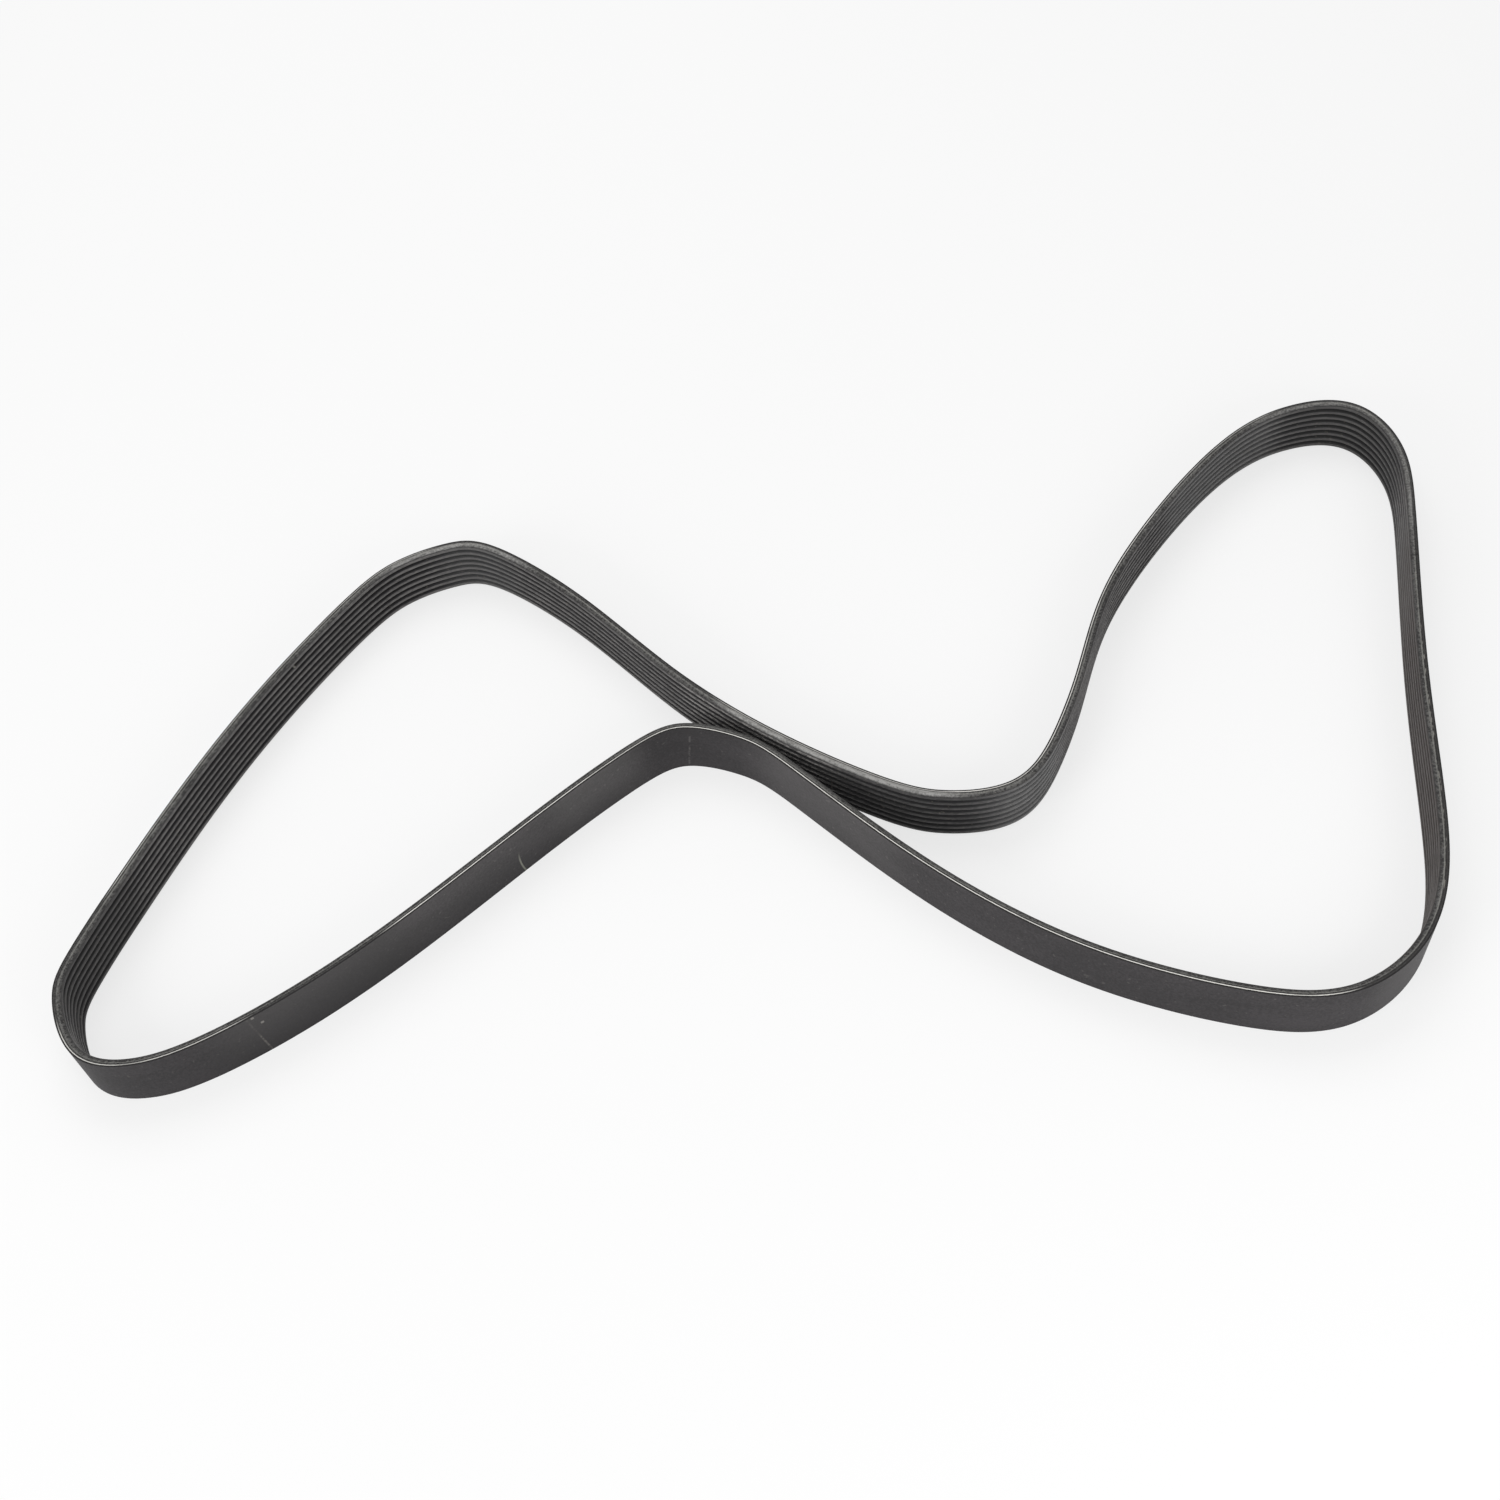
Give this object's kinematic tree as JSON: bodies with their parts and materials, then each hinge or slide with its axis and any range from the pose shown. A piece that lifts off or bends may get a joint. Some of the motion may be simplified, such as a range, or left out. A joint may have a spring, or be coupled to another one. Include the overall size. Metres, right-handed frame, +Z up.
{
  "type": "serpentine belt",
  "caption": "Endless V-ribbed belt standing on its edge in a slack loop pinched at the waist; smooth back outside, lengthwise ribs inside, light cord line in the cut edges.",
  "frame": {"origin": "under the middle of the belt's bounding box, on the surface that it stands on", "axes": "+X along the longest way of the loop, +Y away from the picture's camera, +Z up across the belt's width"},
  "size_m": [0.6402, 0.3316, 0.0285],
  "materials": {
    "rubber": "matte black rubber, slightly worn"
  },
  "bodies": {
    "root": {"belt": "rubber"}
  },
  "joints": []
}
